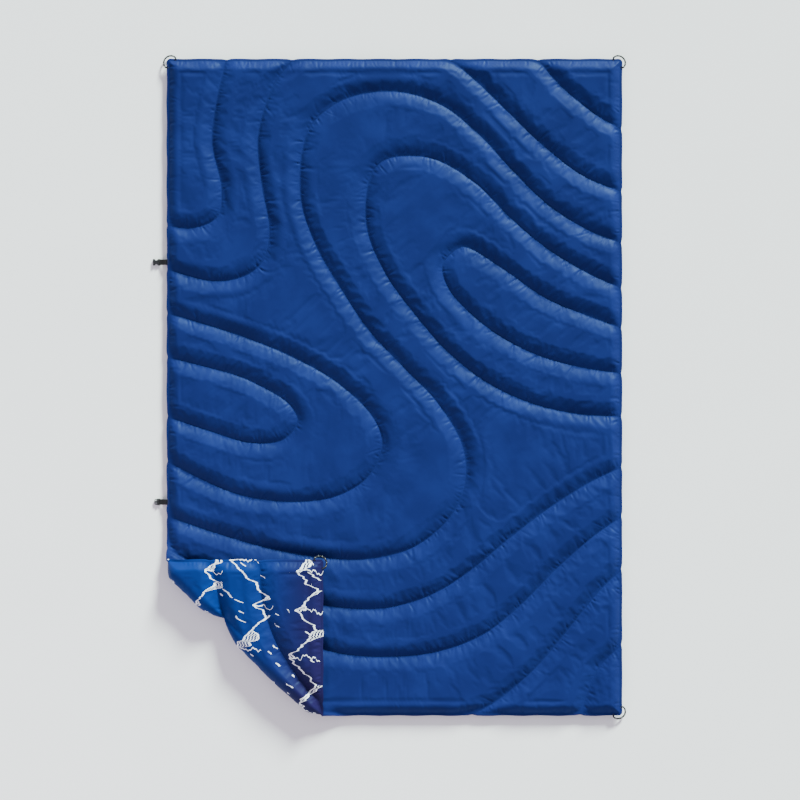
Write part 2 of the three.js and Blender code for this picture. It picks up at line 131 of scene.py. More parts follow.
LUMP_SINK = 0.6

BATTING_SETBACK = 60 * MM  # from the fold
BATTING_SHARE = 0.85
BATTING_GAP = 4.5 * MM
BATTING_LEAST = STITCHED / 8

STITCH_INSET = 5.6 * MM
HEM_DENT = 0.4 * MM
STITCH_LENGTH = 3.0 * MM
STITCH_PITCH = 3.7 * MM
STITCH_SHOULDERS = (0.22, 0.78)  # where a stitch is thickest, as shares of its length
STITCH_PROUD = 0.3  # in its radius
THREAD_RADIUS = 0.35 * MM
TACK_PITCH = 0.9 * MM
TACK_LEAN = 0.25 * TACK_PITCH

PANELS = ((False, "main", "main_panel"), (True, "corner", "folded_corner"))
LOOPS = ("top_left", "top_right", "bottom_right", "bottom_left")
FOLDED_LOOP = "bottom_left"
CORD_DIAMETER = 4.5 * MM
LOOP_RADIUS = 20 * MM
LOOP_INSET = 10 * MM
LOOP_DROOP = 20  # degrees
LOOP_STEPS = 64
CLEARANCE = 0.3 * MM
LOOP_END_OUT = CORD_DIAMETER / 2 + CLEARANCE
ROOT_DEPTH = 5 * MM
ROOT_SQUEEZE = 0.5
BRAID_STRANDS = 6
BRAID_PITCH = 11 * MM
BRAID_STEP = 0.45 * MM
BRAID_CORE = 0.8  # in the cord's radius
STRAND_RADIUS = 0.2  # in the cord's radius
STRAND_WIDENED = 1.25
STRAND_WEAVE = 0.35  # in the strand's radius

WEBBING = 1.2 * MM
WEBBING_WIDTH = 16 * MM
BAR_RADIUS = 1.2 * MM
WEBBING_ROUND = 0.6 * MM
WEBBING_EASE = 0.94  # the webbing's share of its room
WEBBING_CELL = 0.4 * MM
WEAVE_PITCH = 1.6 * MM
WEAVE_DEPTH = 0.1 * MM
ROOT_IN = 11 * MM  # how far the webbing's root goes inside the hem
ROOT_SHORT = 0.72 * MM  # how far short of the pivot it stops
ROOT_PLIES = 1.9
WRAP_START = 2.6  # where the plies part, in the wrap's radius
WRAP_ANGLE = 135  # degrees each way from the bar's far side
WRAP_STEPS = 14
BEVEL = 0.4 * MM
SHARP_EDGE = 32  # degrees

PLACE_MAP = "place"
FABRIC_WEAVE = 0.5 * MM
SLUB_SCALE = (40, 900, 1)
FRONT_DARK = (0.0062, 0.0110, 0.075, 1)
FRONT_LIGHT = (0.0076, 0.0145, 0.092, 1)
PRINT_REPEAT = 0.72
PRINT_START = 0.1
PRINT_DRIFT = 0.16
PRINT_INDIGO = (0.0100, 0.0056, 0.042, 1)
PRINT_AZURE = (0.0020, 0.0185, 0.125, 1)
PRINT_BLUE = (0.0042, 0.0135, 0.095, 1)
PRINT_WHITE = (0.75, 0.78, 0.82, 1)
PRINT_ROW = 0.145
PRINT_SHIFT = 7.31  # from one row's drawing to the next one's
PRINT_PEAKS = 6.5  # in a metre
PRINT_HEIGHT = 0.15
PRINT_FOOT = 0.02
PRINT_JAG = 0.034
PRINT_JAG_SCALE = 48
PRINT_SNOW_VARIES = 0.16  # the snow's depth: a noise from 0 to 1, times this
PRINT_SNOW_LESS = 0.068  # and less this
PRINT_SNOW_SCALE = 21
PRINT_STRIPE = 0.0085
PRINT_STROKE = 0.42  # the white share of a stripe
PRINT_LEAN = 0.12
PRINT_LEAN_SCALE = 32
PRINT_LEAN_STARTS = 1 / 25  # how far below the skyline a ridge leans in full
PRINT_SPURS = 2.6  # for each peak
PRINT_SPUR_TURN = (1.7, 1.1)  # across and up
PRINT_SPUR_SCALE = 19
PRINT_SPUR_LEAST = 0.62  # of a noise: the spurs show where it is above this
PRINT_PEN = 0.0019
PRINT_PEN_SCALE = 30
PRINT_OUTLINE = 1.6  # in the pen's width, as are the next two
PRINT_RIM = 1.3
PRINT_SPUR = 4.6

CAMERA_HEIGHT = 8.0
VIEW_WIDTH = 2.32
VIEW_MIDDLE = (16 * MM, -37 * MM)
SKY = 0.85
SKY_COLOUR = (0.86, 0.88, 1.0, 1)
KEY_AWAY = 5
KEY_HEIGHT = 21  # degrees above the floor
KEY_TURN = 26  # degrees from +Y towards +X
KEY_SOFTNESS = 14  # degrees that the light is wide
KEY_POWER = 15.5
KEY_COLOUR = (0.86, 1.0, 0.93)
FILL_PLACE = (-2.6, -3.6, 2.4)
FILL_SIZE = 2.5
FILL_POWER = 82
FILL_COLOUR = (1.0, 0.66, 0.9)
FLOOR_HALF = 6
FLOOR_DARK = (0.86, 0.86, 0.86, 1)
FLOOR_LIGHT = (0.9, 0.9, 0.9, 1)


def add_object(name, data):
    made = bpy.data.objects.new(name, data)
    bpy.context.scene.collection.objects.link(made)
    return made


# ---- the camera


def make_camera():
    """Looks straight down. The blanket lies a little up and left of the picture's middle."""
    data = bpy.data.cameras.new("camera")
    camera = add_object("camera", data)
    data.lens = data.sensor_width * CAMERA_HEIGHT / VIEW_WIDTH
    data.clip_end = 50
    camera.location = (*VIEW_MIDDLE, CAMERA_HEIGHT + MIDDLE)
    bpy.context.scene.camera = camera


# ---- the lines of quilting, from the threads of the frame


def turned(points):
    """Points of the corner turned over about the fold, from flat to folded or back."""
    v = points - FOLD_POINT
    return FOLD_POINT + 2 * np.outer(v @ FOLD_ALONG, FOLD_ALONG) - v


def thread_line(node):
    """The middle of a thread's sections, in order, in plan and lying flat."""
    mesh = frame["nodes"][node].data
    points = np.array([v.co for v in mesh.vertices])
    if node.endswith("_turned"):
        points = turned(points)
    points = points[:, :2]
    section = np.full(len(points), -1)
    middles = []
    for i, point in enumerate(points):
        if section[i] < 0:
            near = (np.linalg.norm(points - point, axis=1) < THREAD_NEAR) & (section < 0)
            section[near] = len(middles)
            middles.append(points[near].mean(0))
    links = [set() for _ in middles]
    for edge in mesh.edges:
        a, b = (section[v] for v in edge.vertices)
        if a != b:
            links[a].add(b)
            links[b].add(a)
    order = [next(i for i, near in enumerate(links) if len(near) == 1)]
    while True:
        ahead = [i for i in links[order[-1]] if i not in order]
        if not ahead:
            break
        order.append(ahead[0])
    return np.array([middles[i] for i in order])


def spline(points, step):
    """A smooth curve through points, with points about step apart."""
    ends = [2 * points[0] - points[1]], [2 * points[-1] - points[-2]]
    p = np.concatenate([ends[0], points, ends[1]])
    out = []
    for i in range(1, len(p) - 2):
        a, b, c, d = p[i - 1 : i + 3]
        knots = np.cumsum([0] + [np.linalg.norm(y - x) ** 0.5 for x, y in ((a, b), (b, c), (c, d))])
        n = max(2, math.ceil(np.linalg.norm(c - b) / step))
        t = np.linspace(knots[1], knots[2], n, endpoint=False)[:, None]

        def mix(x, y, low, high):
            return ((high - t) * x + (t - low) * y) / (high - low)

        ab, bc, cd = (mix(p[i + k - 1], p[i + k], knots[k], knots[k + 1]) for k in range(3))
        before, after = mix(ab, bc, knots[0], knots[2]), mix(bc, cd, knots[1], knots[3])
        out.append(mix(before, after, knots[1], knots[2]))
    return np.concatenate(out + [points[-1:]])


def run_on(points, beyond):
    """The line, run straight on at both ends."""
    def past(end, before):
        return end + (end - before) / np.linalg.norm(end - before) * beyond

    return np.concatenate([[past(points[0], points[1])], points, [past(points[-1], points[-2])]])


def quilting_lines():
    """Each seam's smooth line, from edge to edge of the flat blanket."""
    coarse = {n: thread_line(n) for n in frame["nodes"] if n.startswith("seam_")}
    lines = {}
    for name, points in coarse.items():
        rest = coarse.get(name + "_turned")
        if rest is not None:
            if np.linalg.norm(points[0] - rest[0]) > np.linalg.norm(points[-1] - rest[0]):
                points = points[::-1]
            if np.linalg.norm(points[0] - rest[0]) < np.linalg.norm(points[0] - rest[-1]):
                rest = rest[::-1]
            joined = (rest[-1] + points[0]) / 2
            points = np.concatenate([rest[:-1], [joined], points[1:]])
        whole = name.removesuffix("_turned")
        if name == whole or whole not in coarse:
            lines[name] = spline(run_on(points, HEM), LINE_STEP)
    return lines


LINES = quilting_lines()


# ---- the lines of quilting as coordinates for the cloth


class Seams:
    """Where the lines of quilting are, for any point of the flat blanket."""

    def __init__(self, lines):
        self.names = list(lines)
        self.points = np.concatenate([lines[n] for n in self.names])
        self.seam = np.concatenate([np.full(len(lines[n]), i) for i, n in enumerate(self.names)])
        self.along = np.concatenate([lengths_along(lines[n]) for n in self.names])
        self.tangent = np.concatenate([np.gradient(lines[n], axis=0) for n in self.names])
        self.tangent /= np.linalg.norm(self.tangent, axis=1)[:, None]
        self.tree = KDTree(len(self.points))
        for i, (x, y) in enumerate(self.points):
            self.tree.insert((x, y, 0), i)
        self.tree.balance()

    def nearest(self, points):
        """Each point's nearest seam, the foot on it, how far along the seam that is, and the side."""
        index = np.array([self.tree.find((x, y, 0))[1] for x, y in points])
        away = points - self.points[index]
        tangent = self.tangent[index]
        ahead = (away * tangent).sum(1)
        foot = self.points[index] + ahead[:, None] * tangent
        side = tangent[:, 0] * away[:, 1] - tangent[:, 1] * away[:, 0]
        return self.seam[index], foot, self.along[index] + ahead, side


def lengths_along(points):
    """The length of a line up to each of its points."""
    steps = np.linalg.norm(np.diff(points, axis=0), axis=1)
    return np.concatenate([[0], np.cumsum(steps)])


def from_edge(points):
    """How far inside the blanket's outline each point is."""
    return (HALF - np.abs(points[:, :2])).min(1)


def from_fold(points):
    """How far each point is from the fold, more than 0 on the main panel's side."""
    return (points[:, :2] - FOLD_POINT[:2]) @ FOLD_INWARD[:2]


def seam_ends():
    """Where the quilting meets the edge, and the webbing does: points on the outline."""
    ends = []
    for line in LINES.values():
        for end in (line[0], line[-1]):
            ends.append(np.clip(end, -HALF, HALF))
    for clip in ("upper", "lower"):
        ends.append(np.array([-HALF[0], JOINTS[f"tab_swing_{clip}"]["pos_m"][1]]))
    return np.array(ends)


def pulled_in(points):
    """Plan points, moved in where a seam's end draws the edge in, with a slight waver."""
    out = points.copy()
    depth = np.clip(1 - from_edge(points) / EDGE_RISE, 0, 1) ** 2
    for end in SEAM_ENDS:
        on_side = np.abs(np.abs(end[0]) - HALF[0]) < HEM
        axis = 0 if on_side else 1
        beside = (points[:, 1 - axis] - end[1 - axis]) / NOTCH_WIDTH
        near = np.sign(points[:, axis]) == np.sign(end[axis])
        close = np.clip(1 - (HALF[axis] - np.abs(points[:, axis])) / EDGE_RISE, 0, 1) ** 2
        out[:, axis] -= np.sign(end[axis]) * PULLED_IN * near * close * np.exp(-(beside**2))
    waves = np.sin(points * EDGE_WAVES + [1, 2])
    wobble = waves[:, 0] * waves[:, 1] * EDGE_WOBBLE
    return out - np.sign(points) * (wobble * depth)[:, None] * (HALF - np.abs(points) < EDGE_RISE)


class Flat:
    """The flat blanket's grid of points, drawn onto the quilting and the fold where they pass."""

    def __init__(self, cell):
        self.cell = cell
        self.columns, self.rows = (2 * int(round(half / cell)) for half in HALF)
        columns = np.linspace(-HALF[0], HALF[0], self.columns + 1)
        rows = np.linspace(-HALF[1], HALF[1], self.rows + 1)
        x, y = np.meshgrid(columns, rows)
        points = rounded_corners(np.stack([x.ravel(), y.ravel()], axis=1))
        self.seam, foot, self.along, self.side = SEAMS.nearest(points)
        self.from_seam = np.linalg.norm(points - foot, axis=1)
        self.on_seam = one_row(self.field(self.from_seam), cell / 2).ravel()
        points[self.on_seam] = foot[self.on_seam]
        self.from_seam[self.on_seam] = 0
        i, j = np.meshgrid(np.arange(self.columns + 1), np.arange(self.rows + 1))
        self.step = (i + j).ravel()
        self.fold_step = int(round(FOLD_LEG / np.mean(2 * HALF / [self.columns, self.rows])))
        self.on_fold = self.step == self.fold_step
        off = from_fold(points[self.on_fold])
        points[self.on_fold] -= off[:, None] * FOLD_INWARD[:2]
        self.points = points
        self.edge = from_edge(points)
        self.fullness = dome(self.from_seam, SEAM_RISE) * dome(self.edge - HEM, EDGE_RISE)

    def triangles(self):
        """Corners of the grid's triangles. Their diagonals follow the seams and the fold."""
        i, j = np.meshgrid(np.arange(self.columns), np.arange(self.rows))
        a = (j * (self.columns + 1) + i).ravel()
        b, c, d = a + 1, a + self.columns + 2, a + self.columns + 1
        rising = self.on_seam[a] & self.on_seam[c]
        falling = self.on_seam[b] & self.on_seam[d] & ~rising
        falling |= ~rising & ((i + j).ravel() % 2 == 1)
        falling |= (i + j).ravel() == self.fold_step - 1
        first = np.where(falling[:, None], np.stack([a, b, d], 1), np.stack([a, b, c], 1))
        second = np.where(falling[:, None], np.stack([b, c, d], 1), np.stack([a, c, d], 1))
        return np.concatenate([first, second])

    def field(self, values):
        """Values as an array of rows and columns."""
        return values.reshape(self.rows + 1, self.columns + 1)


def one_row(distance, reach):
    """The points within reach of a seam, less those that would only double a closer row of them."""
    near = distance < reach
    keep = near.copy()
    for step_i, step_j in ((1, 1), (1, -1), (-1, 1), (-1, -1)):
        doubled = near.copy()
        for step, axis in ((step_i, 1), (step_j, 0)):
            doubled &= np.roll(near, step, axis) & (distance > np.roll(distance, step, axis))
        keep &= ~doubled
    return keep


def rounded_corners(points):
    """The grid's points, drawn in to the rounded corners of the outline."""
    out = np.abs(points) - (HALF - CORNER_RADIUS)
    turned = (out > 0).all(1)
    corner = out[turned]
    reach = np.maximum(np.linalg.norm(corner, axis=1), 1e-9)
    corner *= (corner.max(1) / reach)[:, None]
    result = points.copy()
    result[turned] = np.sign(points[turned]) * (HALF - CORNER_RADIUS + corner)
    return result


def dome(distance, rise):
    """From 0 at a seam to 1 at a pillow's full height, steep at first and then flattening."""
    u = np.clip(distance / rise, 0, 1)
    return np.sin(u * math.pi / 2) ** DOME_POWER


# ---- wrinkles


def puckers(along, distance, length, draw):
    """What gathered cloth adds to the height beside a line of stitches: valleys across it."""
    count = int(length / PUCKER_SPACING)
    centre = np.cumsum(draw.exponential(1, count))
    centre *= length / centre[-1]
    share = PUCKER_SHORTEST + draw.exponential(PUCKER_USUAL, count)
    reach = PUCKER_REACH * np.minimum(share, PUCKER_LONGEST)
    depth = PUCKER_DEPTH * draw.uniform(0.15, 1, count) ** 1.3
    slant = draw.normal(0, PUCKER_SLANT, count)
    bend = draw.normal(0, PUCKER_BEND, count)
    width = PUCKER_WIDTH * draw.uniform(0.7, 1.5, count)
    height = np.zeros(len(along))
    after = np.searchsorted(centre, along)
    for offset in range(-PUCKERS_BESIDE, PUCKERS_BESIDE):
        n = np.clip(after + offset, 0, count - 1)
        real = (after + offset >= 0) & (after + offset < count)
        across = along - centre[n] - slant[n] * distance - bend[n] * distance**2
        u = (across / (width[n] * (1 + distance / PUCKER_WIDENS))) ** 2
        fade = np.clip(1 - distance / reach[n], 0, 1) ** 1.5
        fade *= np.clip(distance / PUCKER_START, 0, 1)
        height += real * depth[n] * (u - PUCKER_VALLEY) * np.exp(-u) * fade
    return height


def all_puckers(flat, draw):
    """Puckers beside both sides of every seam, and inside each edge's hem."""
    height = np.zeros(len(flat.points))
    reach = PUCKER_LONGEST * PUCKER_REACH
    for seam, name in enumerate(SEAMS.names):
        length = lengths_along(LINES[name])[-1]
        for side in (-1, 1):
            near = (flat.seam == seam) & (np.sign(flat.side) == side) & (flat.from_seam < reach)
            height[near] += puckers(flat.along[near], flat.from_seam[near], length, draw)
    for axis in (0, 1):
        for side in (-1, 1):
            inside = HALF[axis] - side * flat.points[:, axis] - HEM
            near = (inside > 0) & (inside < reach)
            along = flat.points[near, 1 - axis] + HALF[1 - axis]
            height[near] += puckers(along, inside[near], 2 * HALF[1 - axis], draw)
    return height


def lumps(points, draw):
    """Uneven filling: a sum of waves, from -1 to 1."""
    total = np.zeros(len(points))
    for _ in range(LUMP_WAVES):
        turn = draw.uniform(0, 2 * math.pi)
        wave = 2 * math.pi / draw.uniform(*LUMP_SIZES)
        direction = np.array([math.cos(turn), math.sin(turn)]) * wave
        total += np.sin(points @ direction + draw.uniform(0, 2 * math.pi))
    return total / LUMP_WAVES**0.5 / 2


def blurred(field, sigma):
    """A field smoothed over sigma cells."""
    reach = int(3 * sigma)
    weights = np.exp(-0.5 * (np.arange(-reach, reach + 1) / sigma) ** 2)
    weights /= weights.sum()
    for axis in (0, 1):
        margin = [(0, 0), (0, 0)]
        margin[axis] = (reach, reach)
        padded = np.pad(field, margin, mode="edge")
        field = np.apply_along_axis(np.convolve, axis, padded, weights, mode="valid")
    return field


def simulated_wrinkles():
    """Wrinkles of a cloth that is sewn down at the seams and the hem and swells between them.

    What is the same all along the seams is taken out, because the dome already gives it."""
    flat = Flat(SIM_CELL)
    height = MIDDLE + STITCHED / 2 + (LOFT - STITCHED) / 2 * flat.fullness
    start = np.column_stack([flat.points, height])
    cloth = mesh_object("cloth", start, flat.triangles())
    sewn = cloth.vertex_groups.new(name="sewn")
    held = np.nonzero(flat.on_seam | (flat.edge < HEM + 1e-6))[0]
    sewn.add(held.tolist(), 1.0, "REPLACE")
    bpy.context.view_layer.objects.active = cloth
    modifier = cloth.modifiers.new("cloth", "CLOTH")
    modifier.collision_settings.use_collision = False
    settings = modifier.settings
    for name, value in CLOTH.items():
        setattr(settings, name, value)
    settings.effector_weights.gravity = 0
    modifier.point_cache.frame_start = 1
    modifier.point_cache.frame_end = SIM_FRAMES
    scene = bpy.context.scene
    for number in range(1, SIM_FRAMES + 1):
        scene.frame_set(number)
    result = cloth.evaluated_get(bpy.context.evaluated_depsgraph_get())
    found = np.zeros(len(start) * 3, np.float32)
    result.data.vertices.foreach_get("co", found)
    bpy.data.objects.remove(cloth)
    scene.frame_set(1)
    moved = flat.field(found.reshape(-1, 3)[:, 2] - start[:, 2])
    fine = moved - blurred(moved, SIM_BLUR)
    ring = (flat.field(np.minimum(flat.from_seam, flat.edge)) / SIM_CELL).astype(int)
    usual = np.bincount(ring.ravel(), fine.ravel()) / np.maximum(np.bincount(ring.ravel()), 1)
    return np.clip(fine - usual[ring], -WRINKLE_LIMIT, WRINKLE_LIMIT)


def resampled(field, flat):
    """A coarser grid's field, at the points of this grid."""
    for axis, count in ((1, flat.columns + 1), (0, flat.rows + 1)):
        known = np.linspace(0, 1, field.shape[axis])
        wanted = np.linspace(0, 1, count)
        field = np.apply_along_axis(lambda line: np.interp(wanted, known, line), axis, field)
    return blurred(field, SIM_SOFTEN).ravel()


# ---- meshes


def mesh_object(name, points, faces, smooth=True):
    mesh = bpy.data.meshes.new(name)
    points = np.asarray(points, np.float32)
    faces = np.asarray(faces)
    corners = faces.shape[1]
    mesh.vertices.add(len(points))
    mesh.vertices.foreach_set("co", points.ravel())
    mesh.loops.add(faces.size)
    mesh.loops.foreach_set("vertex_index", faces.ravel())
    mesh.polygons.add(len(faces))
    mesh.polygons.foreach_set("loop_start", np.arange(len(faces)) * corners)
    mesh.polygons.foreach_set("use_smooth", np.full(len(faces), smooth))
    mesh.update(calc_edges=True)
    mesh.validate()
    return add_object(name, mesh)


def dress(piece, material, slot, body, *nodes):
    """The piece's material, the body it rides on, and the nodes it stands for. Its slot is not used."""
    piece.data.materials.append(MATERIALS[material])
    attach(piece, body)
    if nodes:
        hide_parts(*nodes)


def at_lengths(points, every):
    """The points of a line that lie at the given lengths along it."""
    length = lengths_along(points)
    return np.column_stack([np.interp(every, length, column) for column in points.T])


def joined(parts):
    """Several (points, faces) as one."""
    points, faces, count = [], [], 0
    for part_points, part_faces in parts:
        points.append(part_points)
        faces.append(np.asarray(part_faces) + count)
        count += len(part_points)
    return np.concatenate(points), np.concatenate(faces)


# ---- the two covers


def fold_lift(points, fullness):
    """How far the thin places rise near the fold, so that the layers meet there."""
    return (LOFT - STITCHED) / 2 * (1 - fullness) * np.exp(-((from_fold(points) / FOLD_REACH) ** 2))


def half_thickness(flat, wrinkles, draw):
    """From the middle of the blanket to its cover, without the lift at the fold."""
    full = (LOFT - STITCHED) / 2 * flat.fullness
    loose = all_puckers(flat, draw) + WRINKLE_GAIN * wrinkles
    loose += LUMP * (lumps(flat.points, draw) - LUMP_SINK)
    half = STITCHED / 2 + full + loose * np.minimum(flat.fullness * 4, 1)
    half = np.clip(half, STITCHED / 2, LOFT / 2)
    dent = HEM_DENT * np.exp(-(((flat.edge - STITCH_INSET) / (1.5 * MM)) ** 2))
    round_edge = np.sqrt(np.clip(1 - (1 - flat.edge / EDGE_ROUND).clip(0, 1) ** 2, 0.002, 1))
    return (half - dent) * round_edge


def cover(name, flat, side, half):
    """The front cover (side 1) or the back cover (side -1), with the corner folded over."""
    plan = pulled_in(flat.points)
    plan[flat.on_fold] -= from_fold(plan[flat.on_fold])[:, None] * FOLD_INWARD[:2]
    height = MIDDLE + side * half + fold_lift(flat.points, flat.fullness)
    height = np.clip(height, FLOOR_GAP, LOFT)
    points = np.column_stack([plan, height])
    place = flat.points.copy()
    on_corner = flat.step < flat.fold_step
    points[on_corner] = turned(points[on_corner])

    line = np.nonzero(flat.on_fold)[0]
    line = line[np.argsort(flat.points[line] @ FOLD_ALONG[:2])]
    on_main = points[line]
    steps = NOSE_STEPS if side < 0 else 1
    rings = [line]
    extra, extra_place = [], []
    radius = FOLD_POINT[2] - on_main[:, 2]
    for step in range(1, steps + 1):
        angle = math.pi * step / steps
        ring = on_main.copy()
        ring -= np.outer(radius * NOSE * math.sin(angle), FOLD_INWARD)
        ring[:, 2] = FOLD_POINT[2] - radius * math.cos(angle)
        ahead = radius * (angle if angle < math.pi / 2 else angle - math.pi)
        rings.append(len(points) + len(line) * (step - 1) + np.arange(len(line)))
        extra.append(ring)
        extra_place.append(flat.points[line] - ahead[:, None] * FOLD_INWARD[:2])
    far = rings[-1]
    faces = flat.triangles()
    in_corner = flat.step[faces].min(1) < flat.fold_step
    moved = np.arange(len(points))
    moved[line] = far
    faces[in_corner] = moved[faces[in_corner]]
    if side < 0:
        faces = faces[:, ::-1]
    for low, high in zip(rings, rings[1:]):
        a, b, c, d = low[:-1], low[1:], high[1:], high[:-1]
        strip = np.concatenate([np.stack([a, b, c], 1), np.stack([a, c, d], 1)])
        faces = np.concatenate([faces, strip[:, ::-1] if side > 0 else strip])
    made = mesh_object(name, np.concatenate([points] + extra), faces)
    give_places(made, np.concatenate([place] + extra_place))
    return made


def give_places(made, place):
    """A UV map that holds each point's place on the flat blanket, in metres."""
    corners = np.zeros(len(made.data.loops), np.int32)
    made.data.loops.foreach_get("vertex_index", corners)
    layer = made.data.uv_layers.new(name=PLACE_MAP)
    layer.uv.foreach_set("vector", place[corners].astype(np.float32).ravel())


def insulation(name, flat, thick, corner):
    """The batting between the covers, a closed pillow set back from the hem and the fold."""
    inside = flat.edge > HEM + flat.cell
    away = from_fold(flat.points) * (-1 if corner else 1)
    inside &= away > BATTING_SETBACK
    faces = flat.triangles()
    faces = faces[inside[faces].all(1)]
    used, index = np.unique(faces, return_inverse=True)
    faces = index.reshape(faces.shape)
    edges = np.concatenate([faces[:, [0, 1]], faces[:, [1, 2]], faces[:, [2, 0]]])
    key = np.sort(edges, axis=1)
    _, first, uses = np.unique(key, axis=0, return_index=True, return_counts=True)
    rim = edges[first[uses == 1]]
    plan = pulled_in(flat.points[used])
    thick = np.maximum(thick[used], BATTING_LEAST)
    middle = MIDDLE + fold_lift(flat.points[used], flat.fullness[used])
    top = np.column_stack([plan, middle + thick])
    bottom = np.column_stack([plan, middle - thick])
    count = len(used)
    a, b = rim.T
    wall = np.concatenate([np.stack([a, a + count, b + count], 1), np.stack([a, b + count, b], 1)])
    points = np.concatenate([top, bottom])
    if corner:
        points = turned(points)
    return mesh_object(name, points, np.concatenate([faces, faces[:, ::-1] + count, wall]))


# ---- stitching


def stitch_mesh(starts, ends, up):
    """Short threads, thickest in the middle and sunk at both ends, as points and faces."""
    along = ends - starts
    along /= np.linalg.norm(along, axis=1)[:, None]
    across = np.cross(up, along)
    points = [starts - up * THREAD_RADIUS]
    for share in STITCH_SHOULDERS:
        middle = starts + (ends - starts) * share
        for turn in range(4):
            angle = math.pi * (turn / 2 + 0.25)
            out = across * math.cos(angle) + up * (math.sin(angle) + STITCH_PROUD)
            points.append(middle + THREAD_RADIUS * out)
    points.append(ends - up * THREAD_RADIUS)
    points = np.stack(points, axis=1).reshape(-1, 3)
    faces = []
    for turn in range(4):
        a, b = 1 + turn, 1 + (turn + 1) % 4
        faces += [[0, b, a], [a, b, b + 4], [a, b + 4, a + 4], [a + 4, b + 4, 9]]
    each = np.arange(len(starts))[:, None, None] * 10 + np.array(faces)[None]
    return points, each.reshape(-1, 3)


def stitches_on(plan, side):
    """Starts, ends and up direction of the stitches along a line on one face of the flat blanket."""
    first = np.arange(0, lengths_along(plan)[-1] - STITCH_LENGTH, STITCH_PITCH)
    rows = []
    for distance in (first, first + STITCH_LENGTH):
        spot = at_lengths(plan, distance)
        height = MIDDLE + side * (STITCHED / 2) + fold_lift(spot, 0)
        rows.append(np.column_stack([pulled_in(spot), height]))
    up = np.tile([0.0, 0.0, float(side)], (len(first), 1))
    return rows[0], rows[1], up


def threads(plan, corner, hem=False):
    """The threads along one line, on both faces, of the main panel or of the folded corner."""
    parts = []
    for side in (1, -1):
        starts, ends, up = stitches_on(plan, side)
        keep = from_fold(starts) * (-1 if corner else 1) > STITCH_LENGTH
        if hem:
            starts[:, 2] -= side * HEM_DENT
            ends[:, 2] -= side * HEM_DENT
        else:
            keep &= (from_edge(starts) > STITCH_INSET) & (from_edge(ends) > STITCH_INSET)
        if keep.any():
            starts, ends, up = starts[keep], ends[keep], up[keep]
            if corner:
                starts, ends, up = turned(starts), turned(ends), -up
            parts.append(stitch_mesh(starts, ends, up))
    return joined(parts)


def hem_line():
    """The row of stitches round the blanket, inside its edge."""
    radius = CORNER_RADIUS - STITCH_INSET
    inner = HALF - STITCH_INSET - radius
    points = []
    for quarter in range(4):
        corner = inner * [(1, 1), (-1, 1), (-1, -1), (1, -1)][quarter]
        for step in range(7):
            angle = math.pi / 2 * (quarter + step / 6)
            points.append(corner + radius * np.array([math.cos(angle), math.sin(angle)]))
    points = np.array(points + points[:1])
    length = lengths_along(points)[-1]
    return at_lengths(points, np.linspace(0, length, int(length / STITCH_LENGTH)))


def tack_stitches(node):
    """A bar tack: a dense zigzag over the stretch that its node covers."""
    low, high = (np.array(corner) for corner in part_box(node))
    size = high - low
    long = 0 if size[0] > size[1] else 1
    count = int(size[long] / TACK_PITCH)
    middle = 2 * FOLD_POINT[2] - MIDDLE if FOLDED_LOOP in node else MIDDLE
    level = middle + STITCHED / 2
    starts = np.zeros((2 * count, 3))
    ends = np.zeros((2 * count, 3))
    for n in range(2 * count):
        here = low[long] + size[long] * (n + 0.5) / (2 * count)
        for row, share, lean in ((starts, 0.0, -TACK_LEAN), (ends, 1.0, TACK_LEAN)):
            row[n, long] = here + (lean if n % 2 else -lean)
            row[n, 1 - long] = low[1 - long] + size[1 - long] * share
            row[n, 2] = level + THREAD_RADIUS * (1 + n % 2) * 0.6
    up = np.tile([0.0, 0.0, 1.0], (2 * count, 1))
    return stitch_mesh(starts, ends, up)


# ---- the corner loops of braided cord


def tangents(path):
    ahead = np.gradient(path, axis=0)
    return ahead / np.linalg.norm(ahead, axis=1)[:, None]


def tube_frame(path):
    """Two sideways directions at each point of a path."""
    tangent = tangents(path)
    side = np.cross(tangent[0], [0.0, 0.0, 1.0])
    if np.linalg.norm(side) < 0.1:
        side = np.array([1.0, 0.0, 0.0])
    sides = []
    for t in tangent:
        side = side - (side @ t) * t
        side /= np.linalg.norm(side)
        sides.append(side)
    sides = np.array(sides)
    return sides, np.cross(tangent, sides)


def swept(path, section):
    """A section's points, which may differ along the path, carried along it."""
    side, up = tube_frame(path)
    return tube(path[:, None] + section[..., :1] * side[:, None] + section[..., 1:] * up[:, None], path)


def tube(rings, path):
    """The points and faces of a tube through rings of points, closed at both ends."""
    count, around = rings.shape[:2]
    i, j = np.meshgrid(np.arange(count - 1), np.arange(around), indexing="ij")
    a = (i * around + j).ravel()
    b = (i * around + (j + 1) % around).ravel()
    ring = np.arange(around)
    after = (ring + 1) % around
    first, last = count * around, count * around + 1
    top = first - around
    faces = [
        np.stack([a, b, b + around], 1),
        np.stack([a, b + around, a + around], 1),
        np.stack([np.full(around, first), after, ring], 1),
        np.stack([np.full(around, last), top + ring, top + after], 1),
    ]
    return np.concatenate([rings.reshape(-1, 3), path[:1], path[-1:]]), np.concatenate(faces)


def circle(radius, sides):
    angle = np.arange(sides) * 2 * math.pi / sides
    return radius * np.stack([np.cos(angle), np.sin(angle)], axis=1)


